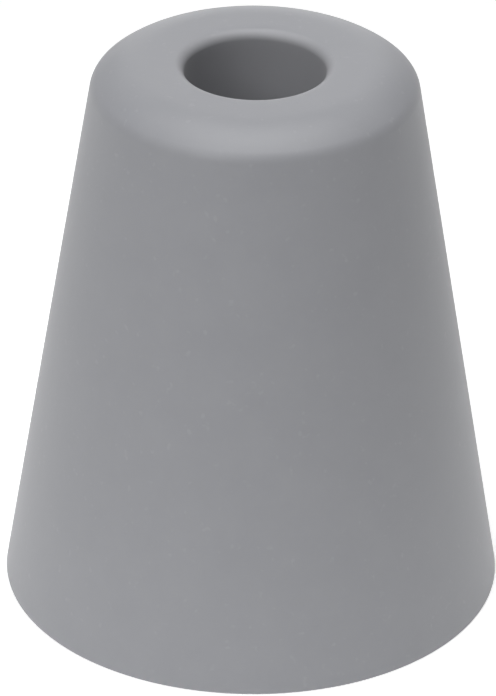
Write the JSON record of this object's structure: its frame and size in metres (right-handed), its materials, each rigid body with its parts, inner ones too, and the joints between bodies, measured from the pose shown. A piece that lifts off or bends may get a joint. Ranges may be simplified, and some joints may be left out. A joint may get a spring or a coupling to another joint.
{
  "type": "door stop",
  "caption": "Conical grey rubber door stop with a deep driver bore, washer and wood screw, shown fixed down with its wall plug.",
  "frame": {"origin": "centre of the base face, on the floor or wall that the stop is screwed to", "axes": "+Z along the axis of the stop, out of the floor or wall, towards the mouth of the driver bore; X and Y are free, because the stop is round"},
  "size_m": [0.0394, 0.0394, 0.075],
  "materials": {
    "rubber": "satin matte moulded rubber",
    "washer_steel": "zinc plated, satin",
    "screw_steel": "bright zinc plated",
    "nylon": "moulded nylon, slightly waxy"
  },
  "bodies": {
    "stop": {"rubber_buffer": "rubber", "wall_plug": "nylon"},
    "washer": {"washer": "washer_steel"},
    "screw": {"screw": "screw_steel"}
  },
  "joints": [
    {"name": "screw_travel", "type": "slide", "parent": "stop", "child": "washer", "axis": [0, 0, 1], "range_m": [0, 0.0308]},
    {"name": "screw_turn", "type": "hinge", "parent": "washer", "child": "screw", "pos_m": [0, 0, 0.01], "axis": [0, 0, 1], "range_deg": [0, 5040]}
  ],
  "couplings": [
    {"joint": "screw_turn", "follows": "screw_travel", "rad_per_m": 2856}
  ]
}
